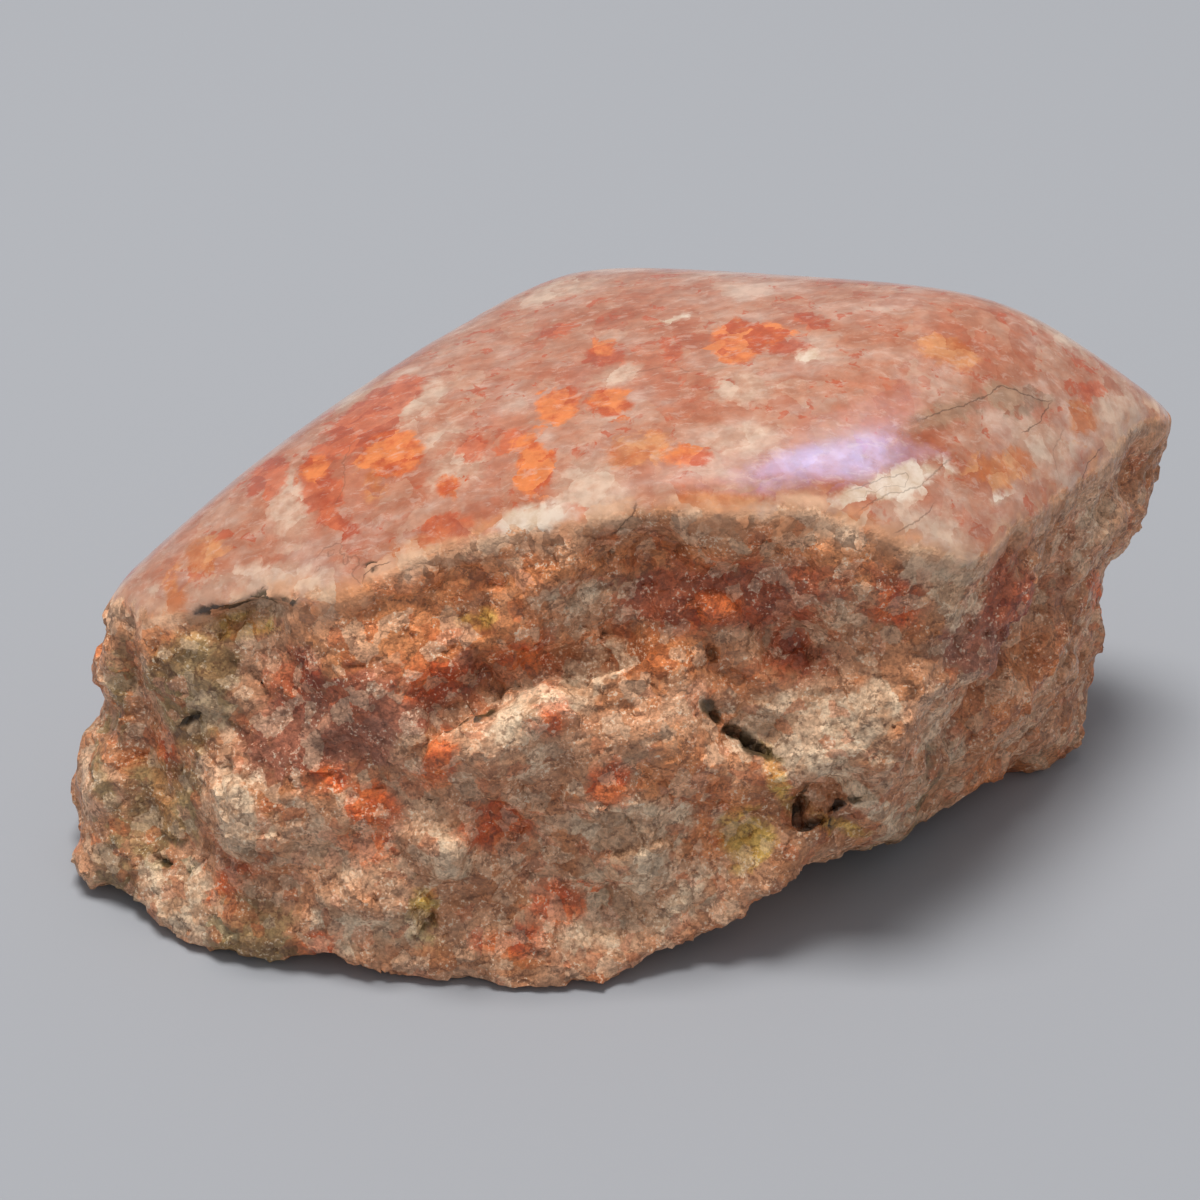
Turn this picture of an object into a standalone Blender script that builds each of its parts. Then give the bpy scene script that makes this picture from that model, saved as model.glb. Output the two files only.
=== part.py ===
"""A rough sunstone with a hand-polished top, made as one closed solid.

The stone is the space inside two sets of sloping planes. A few gentle ones, rounded into each other,
make the polished cap. Steeper ones are the broken sides, with hollows scooped out of them. A relief of
swells, crystal blocks, ledges, lumps and pits lies over the broken sides, and the polish cuts it off.
"""

import bmesh
import bpy
import numpy as np
from mathutils import Vector, noise

# Lengths in this file are in millimetres, on a stone about 131 mm long
MM = 0.001

# The skin starts as a gridded cube, and is pushed out from the heart of the stone
GRID_CUTS = 43
GRID_JITTER = 0.3
JITTER_SEED = 7
HEART = np.array([4.0, 9.0, 27.0])
EGG_HALF_SIZES = np.array([62.0, 36.0, 29.0])
LONGEST_REACH = 120.0
TRIANGLES = 9600

# Polished cap: height over the origin, and the rise for each millimetre along x and along y
CAP_PLANES = {
    "crown": (57.6, 0.17, -0.07),
    "left slope": (64.2, 0.45, 0.44),
    "front slope": (66.2, -0.12, 0.56),
    "back left slope": (118.2, 1.45, -1.09),
    "back right slope": (129.5, -0.63, -1.56),
    "right shoulder": (95.6, -0.94, 0.64),
}
CAP_ROUNDING = 4.0

# Broken sides: a point on each plane, and the way that the plane faces
SIDE_PLANES = {
    "front left": ((-38.0, -21.5, 8.0), (-0.38, -0.90, 0.22)),
    "front": ((-8.0, -27.5, 6.0), (0.02, -0.97, 0.24)),
    "right": ((50.5, -1.1, 47.0), (0.80, -0.58, -0.05)),
    "right overhang": ((35.5, -10.0, 5.0), (0.59, -0.72, -0.34)),
    "right end": ((70.4, 24.0, 41.0), (0.90, 0.10, -0.31)),
    "back": ((20.0, 43.0, 30.0), (0.20, 0.97, 0.06)),
    "back left": ((-39.0, 20.0, 25.0), (-0.66, 0.74, 0.12)),
    "left end": ((-61.7, -5.0, 2.0), (-0.96, -0.10, 0.22)),
    "underside": ((0.0, 0.0, 0.4), (0.0, 0.0, -1.0)),
}
SIDE_ROUNDING = 1.1

# Hollows scooped out of the sides: centre, and half sizes
HOLLOWS = {
    "recess under the front rim": ((10.0, -27.0, 43.0), (40.0, 12.5, 13.0)),
    "scallop in the front rim": ((-14.0, -24.0, 52.0), (17.0, 10.0, 10.0)),
    "arch, tall end": ((24.5, -20.5, -2.5), (14.5, 11.0, 8.0)),
    "arch, low end": ((42.0, -4.0, -2.6), (18.0, 13.0, 3.9)),
}
HOLLOW_ROUNDING = 2.0

# Relief that covers all broken faces: width and height of the swells; width, height and tilt of the blocks
SWELLS = ((30.0, 0.9), (12.0, 0.7))
BLOCKS = ((10.0, 0.45, 0.07), (6.0, 0.45, 0.10))
CALM_DEPTH = 6.0
CALM_SHARE = 0.35

# Ledges, where a layer has broken off: a point on the edge, the way back over the layer from there,
# the layer's height, how far it reaches back, and half the length of its edge
LEDGES = {
    "slab on the front": ((-4.0, -18.0, 34.0), (0.23, 0.0, -0.97), 3.0, 30.0, 17.0),
    "upper fold on the right": ((47.0, -4.5, 35.5), (-0.35, -0.54, 0.76), 1.2, 8.0, 12.0),
    "middle fold on the right": ((43.5, -9.0, 29.5), (-0.35, -0.54, 0.76), 2.0, 9.0, 14.0),
    "lower fold on the right": ((50.0, 2.0, 19.0), (-0.35, -0.54, 0.76), 1.6, 10.0, 13.0),
    "cornice on the right end": ((61.0, 14.5, 33.0), (-0.20, -0.35, 0.91), 0.9, 9.0, 16.0),
    "long ledge on the back": ((12.0, 43.0, 22.0), (0.30, 0.0, 0.95), 2.2, 18.0, 24.0),
    "step on the back left": ((-38.0, 20.0, 18.0), (-0.45, -0.45, 0.77), 1.8, 14.0, 16.0),
    "layer on the left end": ((-59.0, -6.0, 16.0), (0.15, 0.30, -0.94), 1.4, 12.0, 8.0),
}
LEDGE_EDGE = 1.8

# Lumps and pits: where each starts and ends, its half width, and its height, negative for a pit
LUMPS_AND_PITS = {
    "groove beside the left end": ((-54.5, -8.0, 35.0), (-51.5, -14.5, 11.0), 3.8, -2.2),
    "flake on the left end": ((-56.5, -8.5, 26.0), (-59.5, -9.0, 10.0), 6.0, 0.6),
    "left toe": ((-60.0, -11.0, 3.0), (-62.0, -3.0, 3.0), 8.0, 0.9),
    "crack under the left rim": ((-43.5, -11.5, 37.0), (-37.0, -13.8, 39.2), 3.0, -1.9),
    "stained hollow under it": ((-39.0, -13.8, 36.0), (-39.0, -13.8, 36.0), 6.0, -1.0),
    "pale chunk on the left": ((-41.5, -17.0, 22.0), (-39.0, -19.5, 12.0), 6.5, 2.0),
    "white foot on the left": ((-51.0, -16.5, 4.0), (-41.0, -21.0, 3.0), 6.0, 1.6),
    "purple hollow": ((-34.0, -16.0, 32.0), (-24.0, -19.0, 27.0), 9.0, -2.0),
    "crevice over the slab": ((-17.5, -20.5, 31.6), (-10.5, -19.5, 33.0), 2.8, -1.8),
    "cream lump": ((-17.0, -25.0, 16.0), (-17.0, -25.0, 16.0), 4.6, 1.5),
    "green hollow": ((-20.0, -26.4, 9.0), (-22.5, -27.0, 4.5), 4.5, -1.6),
    "orange lump": ((12.5, -14.0, 41.5), (12.5, -14.0, 41.5), 4.6, 2.2),
    "red pit": ((19.0, -15.6, 37.5), (23.3, -15.9, 36.8), 3.0, -1.7),
    "long slot": ((13.2, -19.5, 30.2), (18.0, -20.8, 28.2), 3.6, -2.4),
    "pale boss by the right ridge": ((30.0, -20.5, 33.0), (31.5, -21.5, 27.0), 6.0, 1.5),
    "dark cavity": ((21.5, -22.6, 20.2), (27.0, -22.2, 21.2), 4.4, -3.4),
    "ochre hollow": ((16.4, -23.8, 18.5), (14.5, -25.0, 12.5), 4.0, -1.3),
    "front foot": ((-46.0, -19.0, 1.0), (4.0, -26.0, 1.0), 7.0, 1.8),
    "right foot": ((48.0, 10.0, 0.0), (57.0, 18.0, 0.0), 9.0, 1.8),
    "back foot": ((-22.0, 44.0, 0.0), (28.0, 41.0, 0.0), 9.0, 1.5),
    "lump by the arch": ((24.0, -22.0, 14.0), (19.0, -22.5, 10.0), 4.5, 1.2),
}

HEIGHT_SEARCH = 7.0
SEARCH_STEPS = 24
BREAK_SOFTENING = 0.4
RESTING_DEPTH = 0.35


def rounded_largest(values, rounding):
    """The largest value of each row, rounded where several values are nearly as large."""
    largest = values.max(axis=1, keepdims=True)
    return largest[:, 0] + rounding * np.log(np.exp((values - largest) / rounding).sum(axis=1))


def cap_field(points):
    """How far the points lie outside the polished cap, negative inside."""
    heights, rises_x, rises_y = np.array(list(CAP_PLANES.values())).T
    upward = np.stack([-rises_x, -rises_y, np.ones_like(heights)])
    distances = (points @ upward - heights) / np.linalg.norm(upward, axis=0)
    return rounded_largest(distances, CAP_ROUNDING)


def side_field(points):
    """How far the points lie outside the broken sides and their hollows, negative inside."""
    through, facing = (np.array(column) for column in zip(*SIDE_PLANES.values()))
    facing /= np.linalg.norm(facing, axis=1, keepdims=True)
    field = rounded_largest(points @ facing.T - (through * facing).sum(axis=1), SIDE_ROUNDING)
    for centre, half_sizes in HOLLOWS.values():
        share = np.linalg.norm((points - centre) / half_sizes, axis=1)
        scooped = (1.0 - share) * min(half_sizes)
        field = rounded_largest(np.stack([field, scooped], axis=1), HOLLOW_ROUNDING)
    return field


def smooth_step(values):
    """0 below 0, 1 above 1, and an even curve between them."""
    share = np.clip(values, 0.0, 1.0)
    return share * share * (3.0 - 2.0 * share)


def block_height(point, size, height, tilt):
    """Height of a flat, tilted crystal face, one of many that meet at broken edges."""
    centre = noise.voronoi(point / size)[1][0] * size
    step = 2.0 * noise.cell(centre / size * 7.3) - 1.0
    lean = noise.cell_vector(centre / size * 5.1) * 2.0 - Vector((1.0, 1.0, 1.0))
    return height * step + tilt * lean.dot(point - centre)


def grown_relief(points):
    """Swells and crystal blocks, which cover every broken face and are lower just under the polish."""
    heights = np.empty(len(points))
    for index, place in enumerate(points):
        point = Vector(place)
        height = sum(rise * noise.noise(point / size) * 2.0 for size, rise in SWELLS)
        height += sum(block_height(point, *block) for block in BLOCKS)
        heights[index] = height
    below_polish = smooth_step(-cap_field(points) / CALM_DEPTH)
    return heights * (CALM_SHARE + (1.0 - CALM_SHARE) * below_polish)


def ledge_relief(points):
    """Layers that end in a broken edge and thin out behind it."""
    heights = np.zeros(len(points))
    for start, back, rise, reach, half_length in LEDGES.values():
        away = points - start
        behind = away @ np.array(back)
        aside = np.linalg.norm(away - np.outer(behind, back), axis=1)
        layer = smooth_step(behind / LEDGE_EDGE + 0.5) * smooth_step(1.0 - behind / reach)
        heights += rise * layer * smooth_step((half_length - aside) / (0.5 * half_length))
    return heights


def lump_relief(points):
    """Lumps and pits along short lines on the broken faces."""
    heights = np.zeros(len(points))
    for start, end, half_width, rise in LUMPS_AND_PITS.values():
        line = np.subtract(end, start)
        along = np.clip((points - start) @ line / max(line @ line, 1.0), 0.0, 1.0)
        distance = np.linalg.norm(points - start - np.outer(along, line), axis=1)
        heights += rise * smooth_step(1.3 * (1.0 - distance / half_width))
    return heights


def last_inside(starts, directions, reach, field_at):
    """The points where lines from the starts leave the stone, found by halving."""
    near = np.zeros(len(starts))
    far = np.full(len(starts), reach)
    for _ in range(SEARCH_STEPS):
        middle = (near + far) / 2.0
        inside = field_at(starts + middle[:, None] * directions) < 0.0
        near = np.where(inside, middle, near)
        far = np.where(inside, far, middle)
    return starts + near[:, None] * directions


def outward(points, step=0.3):
    """Unit normals of the broken sides, from the way that their field grows."""
    grows = np.stack([side_field(points + move) - side_field(points - move) for move in step * np.eye(3)], 1)
    return grows / np.linalg.norm(grows, axis=1, keepdims=True)


def stone_surface(cube_points):
    """Push the points of a gridded cube out to the surface, jittered so that no facets line up."""
    jitter = np.random.default_rng(JITTER_SEED).uniform(-1.0, 1.0, cube_points.shape)
    cube_points = cube_points + jitter * GRID_JITTER * 2.0 / (GRID_CUTS + 1)
    directions = np.tan(cube_points * np.pi / 4.0) * EGG_HALF_SIZES
    directions /= np.linalg.norm(directions, axis=1, keepdims=True)
    hearts = np.tile(HEART, (len(directions), 1))
    smooth = last_inside(
        hearts, directions, LONGEST_REACH, lambda points: np.maximum(cap_field(points), side_field(points))
    )
    relief = grown_relief(smooth) + ledge_relief(smooth) + lump_relief(smooth)
    normals = outward(smooth)
    points = last_inside(
        smooth - HEIGHT_SEARCH * normals,
        normals,
        2.0 * HEIGHT_SEARCH,
        lambda points: np.maximum(cap_field(points), side_field(points) - relief),
    )
    points[:, 2] = np.maximum(points[:, 2], 0.0)
    return points


def gridded_mesh():
    """A closed mesh of the stone, with its broken faces softened a little and its cap left true."""
    skin = bmesh.new()
    bmesh.ops.create_cube(skin, size=2.0)
    bmesh.ops.subdivide_edges(skin, edges=skin.edges[:], cuts=GRID_CUTS, use_grid_fill=True)
    points = stone_surface(np.array([vertex.co for vertex in skin.verts]))
    broken = [vertex for vertex, field in zip(skin.verts, cap_field(points)) if field < -0.3]
    for vertex, place in zip(skin.verts, points * MM):
        vertex.co = place
    bmesh.ops.smooth_vert(
        skin, verts=broken, factor=BREAK_SOFTENING, use_axis_x=True, use_axis_y=True, use_axis_z=True
    )
    bmesh.ops.triangulate(skin, faces=skin.faces[:])
    bmesh.ops.recalc_face_normals(skin, faces=skin.faces[:])
    mesh = bpy.data.meshes.new("gridded stone")
    skin.to_mesh(mesh)
    skin.free()
    return mesh


def thinned(mesh):
    """The same mesh with fewer, larger facets where it is smooth."""
    gridded = bpy.data.objects.new("gridded stone", mesh)
    bpy.context.scene.collection.objects.link(gridded)
    thinning = gridded.modifiers.new("thinning", "DECIMATE")
    thinning.ratio = TRIANGLES / len(mesh.polygons)
    graph = bpy.context.evaluated_depsgraph_get()
    thin = bpy.data.meshes.new_from_object(gridded.evaluated_get(graph))
    bpy.data.objects.remove(gridded, do_unlink=True)
    return thin


def stand_on_origin(mesh):
    """Press the lowest points level, to rest on, and put the middle of the stone's plan over the origin."""
    points = np.array([vertex.co for vertex in mesh.vertices])
    points[points[:, 2] < RESTING_DEPTH * MM, 2] = 0.0
    points[:, :2] -= (points[:, :2].min(axis=0) + points[:, :2].max(axis=0)) / 2.0
    for vertex, place in zip(mesh.vertices, points):
        vertex.co = place


def sunstone_material():
    """Salmon feldspar with a soft shine."""
    material = bpy.data.materials.new("sunstone")
    material.use_nodes = True
    shader = material.node_tree.nodes["Principled BSDF"]
    shader.inputs["Base Color"].default_value = (0.50, 0.21, 0.13, 1.0)
    shader.inputs["Roughness"].default_value = 0.35
    shader.inputs["Metallic"].default_value = 0.0
    return material


def main():
    for thing in list(bpy.data.objects):
        bpy.data.objects.remove(thing, do_unlink=True)
    mesh = thinned(gridded_mesh())
    mesh.name = "rough_sunstone"
    stand_on_origin(mesh)
    mesh.materials.append(sunstone_material())
    stone = bpy.data.objects.new("rough_sunstone", mesh)
    bpy.context.scene.collection.objects.link(stone)


main()
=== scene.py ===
"""A rough sunstone with a polished top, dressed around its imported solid.

The solid's skin is meshed evenly, its top is laid on the exact rounded planes of the polish, and its
broken sides get crystals, ledges, chips and pits. Patches of colour lie where the photograph shows them,
and reach the material as smooth attributes of the mesh.
"""

import logging
import math
from dataclasses import dataclass, field
from enum import Enum

import bmesh
import bpy
import numpy as np
from mathutils import Matrix, Vector
from mathutils.bvhtree import BVHTree
from mathutils.kdtree import KDTree


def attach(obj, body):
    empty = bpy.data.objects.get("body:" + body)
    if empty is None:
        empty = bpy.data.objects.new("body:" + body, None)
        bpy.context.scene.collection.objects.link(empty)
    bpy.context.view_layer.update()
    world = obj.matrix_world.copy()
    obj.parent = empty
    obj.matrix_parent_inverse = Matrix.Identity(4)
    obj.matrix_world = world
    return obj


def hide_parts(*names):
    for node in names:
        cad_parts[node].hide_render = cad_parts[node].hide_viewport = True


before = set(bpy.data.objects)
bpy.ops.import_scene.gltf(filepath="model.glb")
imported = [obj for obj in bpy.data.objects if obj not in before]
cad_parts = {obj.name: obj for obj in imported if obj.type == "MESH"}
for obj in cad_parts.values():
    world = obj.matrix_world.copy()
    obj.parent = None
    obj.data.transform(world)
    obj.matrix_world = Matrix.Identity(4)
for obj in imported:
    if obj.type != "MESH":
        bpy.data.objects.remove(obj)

MM = 0.001
LOG = logging.getLogger("sunstone")
DICE_SPREAD = np.array([[127.1, 269.5, 419.2], [311.7, 183.3, 371.9], [74.7, 246.1, 151.7]])
DICE_SEED_STEP = 17.3
DICE_STRETCH = 43758.5453

Triple = tuple[float, float, float]


class Tint(Enum):
    """The colours that patches of the stone take, some of them painted reflection or shade; each value names
    a mesh attribute.
    """

    EMBER = "ember"
    CORAL = "coral"
    APRICOT = "apricot"
    ROSE = "rose"
    CREAM = "cream"
    MILK = "milk"
    ASH = "ash"
    # Lilac is painted reflection: the blue strip light's sheen laid into the colour of the polish
    LILAC_REFLECTION = "lilac"
    GOLD = "gold"
    MAROON = "maroon"
    # Mauve is partly the stone's colour and partly painted shade in hollows
    MAUVE_AND_HOLLOW_SHADE = "mauve"
    RUST = "rust"
    BONE = "bone"
    OCHRE = "ochre"
    MOSS = "moss"
    # Painted shade: a near-black colour laid in slots, pits, slits and under the slab edge
    CREVICE_SHADE = "painted_crevice_shade"


POLISH_TINTS = {Tint.EMBER, Tint.CORAL, Tint.APRICOT, Tint.ROSE, Tint.CREAM, Tint.MILK, Tint.ASH}
ONE_OFF_TINTS = {Tint.LILAC_REFLECTION, Tint.CREVICE_SHADE}


@dataclass(frozen=True)
class Mark:
    """A patch or a dent as the photograph shows it: middle and half sizes in pixels, turn in degrees."""

    across: float
    down: float
    half_length: float
    half_width: float
    turn: float = 0.0


COLOUR_MARKS = {
    Tint.EMBER: {
        "big orange crystal": Mark(736, 343, 29, 20, 10),
        "its tail": Mark(774, 331, 20, 10, 5),
        "upright orange crystal": Mark(532, 464, 31, 20, 95),
        "orange cap of it": Mark(556, 406, 24, 17, 30),
        "orange bar": Mark(689, 455, 27, 12, 5),
        "orange block on the left": Mark(394, 456, 34, 23, 15),
        "golden crystal": Mark(614, 403, 24, 14, 5),
        "small ember near the left": Mark(316, 470, 14, 14, 60),
        "ember under the upright one": Mark(452, 487, 12, 12, 0),
        "ember dash by the crown": Mark(603, 347, 14, 8, 10),
    },
    Tint.CORAL: {
        "coral streak by the crown": Mark(606, 355, 22, 10, 10),
        "coral crystal": Mark(672, 352, 12, 17, 5),
        "red hook on the left": Mark(322, 487, 34, 19, 110),
        "red foot of the hook": Mark(335, 522, 20, 12, -20),
        "small red crystal": Mark(470, 446, 14, 9, 20),
        "red arm of the upright crystal": Mark(510, 446, 20, 7, 50),
        "red by the rim": Mark(447, 527, 30, 13, 15),
        "long red band on the left edge": Mark(374, 412, 62, 20, 37),
        "red fleck on the left edge": Mark(262, 478, 26, 14, 45),
        "red tail of the crystal": Mark(792, 347, 22, 9, -10),
        "red right of the white crystal": Mark(580, 531, 22, 14, -15),
        "red fleck on the right": Mark(1093, 393, 9, 9, 0),
        "short red dash": Mark(556, 330, 24, 7, 10),
        "red dots": Mark(704, 385, 18, 9, 10),
        "red at the crown": Mark(806, 322, 16, 7, -8),
        "red above the rim": Mark(505, 530, 20, 8, 10),
    },
    Tint.APRICOT: {
        "pale side of the block": Mark(372, 478, 15, 19, 0),
        "orange on the right slope": Mark(1081, 422, 13, 17, 10),
        "apricot below the crown": Mark(640, 450, 30, 16, 10),
        "apricot by the left rim": Mark(420, 548, 30, 15, 25),
        "yellow fleck near the left end": Mark(205, 556, 16, 15, 20),
        "orange streak at the left end": Mark(172, 590, 9, 22, 0),
        "apricot right of the lilac": Mark(1000, 470, 30, 18, 10),
        "apricot below the lilac": Mark(845, 522, 20, 10, 0),
        "apricot over the lip": Mark(700, 506, 46, 9, 5),
        "apricot in the upper right clouds": Mark(945, 348, 26, 11, -25),
    },
    Tint.ROSE: {
        "rose crystal at the rim": Mark(990, 521, 26, 17, 15),
        "rose below the crown": Mark(700, 405, 34, 14, 0),
        "rose clouds": Mark(880, 400, 40, 18, 5),
        "rose by the lilac": Mark(700, 490, 40, 12, 0),
        "rose ripples": Mark(345, 558, 22, 16, -20),
        "rose at the chip": Mark(925, 500, 16, 12, 0),
        "upper right clouds": Mark(955, 344, 44, 20, -25),
        "salmon field on the left": Mark(345, 485, 90, 34, 38),
        "salmon field left of the middle": Mark(478, 452, 60, 40, 30),
        "salmon field by the crown": Mark(620, 370, 70, 26, 8),
    },
    Tint.CREAM: {
        "cream field in the middle": Mark(592, 488, 38, 30, 0),
        "cream by the coral": Mark(612, 375, 20, 9, 10),
        "cream on the left rim": Mark(262, 584, 70, 20, 14),
        "cream at the left end": Mark(165, 600, 22, 12, -20),
        "cream channel on the left": Mark(292, 510, 20, 36, 10),
        "cream over the crown": Mark(735, 388, 38, 14, 0),
        "cream right slope": Mark(1040, 450, 34, 24, 30),
        "cream under the crown": Mark(560, 290, 36, 10, 15),
        "cream at the right tip": Mark(1120, 410, 26, 30, 50),
        "cream between the reds": Mark(440, 440, 20, 14, 20),
        "cream beside the white crystal": Mark(470, 552, 32, 8, 22),
        "cream under the flaky chip": Mark(935, 545, 54, 32, -50),
        "cream along the lip": Mark(745, 512, 60, 7, 3),
        "cream left of the upright crystal": Mark(455, 470, 26, 26, 30),
        "cream above the block": Mark(420, 400, 40, 14, 30),
        "cream left of the lilac": Mark(740, 440, 44, 16, 5),
        "cream on the right rim": Mark(1090, 500, 26, 16, 50),
    },
    Tint.MILK: {
        "white crystal on the rim": Mark(528, 519, 27, 12, 8),
        "flaky chip": Mark(900, 480, 50, 14, 17),
        # Painted highlight: a white glint laid into the colour
        "painted glint": Mark(807, 357, 13, 5, 15),
        "white fleck on the crown": Mark(679, 318, 16, 5, 12),
        "white by the red crystal": Mark(1000, 500, 9, 5, 20),
    },
    Tint.ASH: {
        "grey by the cracks": Mark(1014, 396, 34, 14, 0),
        "grey haze by it": Mark(950, 412, 40, 12, 20),
    },
    # Painted reflection: the lilac sheen of the blue strip light, laid as a colour patch that shows from
    # every side
    Tint.LILAC_REFLECTION: {"painted lilac reflection": Mark(838, 462, 96, 22, 7)},
    Tint.GOLD: {
        "golden lip on the left": Mark(430, 585, 110, 30, 18),
        "golden lip in the middle": Mark(650, 556, 110, 20, -4),
        "golden lip on the right": Mark(850, 568, 90, 24, -12),
        "gold by the left end": Mark(165, 640, 22, 30, 0),
        "russet field on the left": Mark(430, 655, 120, 48, 10),
        "russet under the band": Mark(640, 650, 90, 30, 0),
        "russet by the yellow stain": Mark(690, 800, 50, 40, 0),
        "russet on the right face": Mark(1010, 690, 70, 50, 40),
    },
    Tint.MAROON: {
        "maroon band under the lip": Mark(720, 596, 120, 34, 0),
        "red column": Mark(790, 650, 26, 38, 0),
        "red by the purple": Mark(300, 680, 30, 28, 0),
        "maroon on the right": Mark(900, 600, 30, 34, 0),
        "maroon slope on the right face": Mark(1010, 600, 30, 60, 40),
        "red pit": Mark(817, 652, 14, 9, 0),
    },
    # Mauve: partly the stone's colour, partly painted shade in the hollows and above the slab edge
    Tint.MAUVE_AND_HOLLOW_SHADE: {
        "purple hollow": Mark(330, 728, 90, 50, 15),
        "mauve by the slab": Mark(440, 690, 60, 22, 25),
        "mauve on the right face": Mark(1000, 640, 50, 26, 45),
    },
    Tint.RUST: {
        "rust spot on the slab": Mark(371, 808, 24, 20, 0),
        "rust spot below it": Mark(366, 846, 20, 17, 0),
        "rust on the slab edge": Mark(438, 762, 23, 19, 30),
        "rust in the slab": Mark(495, 824, 30, 22, 0),
        "rust crystal": Mark(610, 785, 24, 24, 0),
        "rust above it": Mark(553, 722, 20, 20, 0),
        "rust under the lip": Mark(430, 680, 30, 16, 0),
        "rust in the band": Mark(518, 666, 28, 17, 20),
        "orange lump": Mark(717, 607, 22, 14, 0),
        "rust at the left foot": Mark(227, 884, 13, 17, 0),
        "rust at the front foot": Mark(312, 946, 17, 10, 0),
        "rust at the lower edge": Mark(506, 941, 22, 13, 0),
        "rust on the left ridge": Mark(167, 770, 12, 50, 0),
        "rust by the right ridge": Mark(900, 612, 22, 18, 0),
        "rust on the right face": Mark(1095, 592, 12, 20, 0),
        "rust lower middle": Mark(570, 902, 28, 18, 0),
        "rust in the purple": Mark(322, 780, 24, 17, 0),
    },
    Tint.BONE: {
        "cream lump": Mark(446, 858, 24, 32, 10),
        "pale toe": Mark(180, 900, 54, 34, -25),
        "pale chunk": Mark(240, 820, 26, 55, 15),
        "cream field under the slots": Mark(815, 730, 80, 42, 0),
        "whitest cream": Mark(880, 712, 22, 32, 0),
        "pale slab": Mark(560, 690, 70, 20, 20),
        # Partly painted light: a paler patch where the lip would catch light
        "pale rim and painted light at the right": Mark(945, 575, 50, 28, -45),
        "pale crest in the middle": Mark(640, 830, 70, 36, 0),
        "pale crumbs under the lip": Mark(585, 600, 24, 18, 0),
        "pale foot": Mark(385, 930, 40, 20, 0),
        "pale ledge": Mark(680, 900, 42, 18, 40),
        "pale field at the lower edge": Mark(620, 880, 60, 34, 20),
        "pale crumbs at the foot": Mark(350, 930, 40, 22, 0),
        "pale ledge under the cavity": Mark(880, 815, 50, 14, 12),
    },
    Tint.OCHRE: {
        "yellow stain": Mark(751, 838, 24, 27, -10),
        "yellow fleck": Mark(782, 792, 9, 12, 0),
        "yellow crumbs by the cavity": Mark(838, 826, 20, 6, 15),
        "green yellow stain at the left rim": Mark(243, 624, 34, 13, 8),
        "ochre at the front foot": Mark(425, 905, 12, 18, 0),
        "faint ochre in the band": Mark(475, 620, 20, 10, 0),
    },
    Tint.MOSS: {
        "grey shade on the left face": Mark(190, 690, 44, 60, 0),
        "grey shade under it": Mark(170, 800, 30, 50, 0),
        "mossy strip on the left": Mark(118, 690, 11, 44, 0),
        "mossy strip lower down": Mark(100, 780, 10, 40, 12),
        "mossy strip below": Mark(150, 850, 26, 12, -30),
        "green hollow": Mark(422, 915, 14, 24, 0),
        "moss by the cavity": Mark(790, 806, 12, 12, 10),
    },
    # Painted shade in the dents: near-black colour in slots, cavities, pits and slits, and under the slab
    # edge
    Tint.CREVICE_SHADE: {
        "long slot, upper end": Mark(712, 714, 10, 4, -60),
        "long slot, middle": Mark(733, 730, 11, 5, -20),
        "long slot, bend": Mark(745, 742, 8, 4, -60),
        "long slot, lower end": Mark(763, 751, 12, 4, -25),
        "dark cavity, upper part": Mark(798, 806, 12, 6, 65),
        "dark cavity, lower part": Mark(813, 820, 13, 6, 5),
        "dark tail": Mark(834, 806, 12, 4, 30),
        "dark tail, tip": Mark(852, 800, 8, 3, 0),
        "small slot": Mark(714, 656, 4, 8, 15),
        "crack under the left rim, left part": Mark(232, 612, 22, 4, 5),
        "crack under the left rim, right part": Mark(270, 603, 22, 7, 12),
        "pit on the left": Mark(189, 720, 6, 3, 20),
        "pit by the toe": Mark(162, 861, 13, 3, -25),
        "shadow under the slab edge": Mark(466, 722, 24, 4, 26),
        "slit in the rim": Mark(625, 521, 8, 3, 50),
        "slit on the left": Mark(372, 568, 4, 3, 30),
    },
}

# The height of each dent or lump is in millimetres, negative for a dent
CARVED_MARKS = {
    "long slot, upper end": (Mark(712, 714, 13, 6, -60), -1.8),
    "long slot, middle": (Mark(733, 730, 14, 6, -20), -2.2),
    "long slot, bend": (Mark(745, 742, 11, 5, -60), -1.6),
    "long slot, lower end": (Mark(763, 751, 15, 5, -25), -1.8),
    "dark cavity, upper part": (Mark(798, 806, 16, 8, 65), -2.2),
    "dark cavity, lower part": (Mark(814, 820, 17, 8, 5), -2.0),
    "dark tail": (Mark(834, 806, 15, 6, 30), -1.6),
    "dark tail, tip": (Mark(853, 800, 10, 5, 0), -1.2),
    "small slot": (Mark(714, 656, 6, 11, 15), -1.4),
    "red pit": (Mark(817, 652, 12, 7, 0), -0.9),
    "crack under the left rim": (Mark(255, 608, 46, 8, 6), -2.0),
    "pit on the left": (Mark(189, 720, 9, 5, 20), -0.8),
    "pit by the toe": (Mark(162, 861, 16, 5, -25), -0.9),
    "orange lump": (Mark(717, 607, 22, 15, 0), 1.0),
    "pale chunk": (Mark(240, 820, 24, 56, 15), 0.9),
    "cream lump": (Mark(446, 858, 22, 30, 10), 0.8),
    "orange crystal on the slab edge": (Mark(436, 762, 16, 15, 0), 0.7),
    "green hollow": (Mark(424, 915, 14, 24, 0), -0.9),
    "white crystal on the rim": (Mark(526, 523, 28, 14, 10), 0.6),
}


@dataclass(frozen=True)
class Crack:
    """A fine crack: the pixels that it runs through, and how strongly it shows."""

    line: tuple[tuple[float, float], ...]
    strength: float = 1.0


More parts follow.
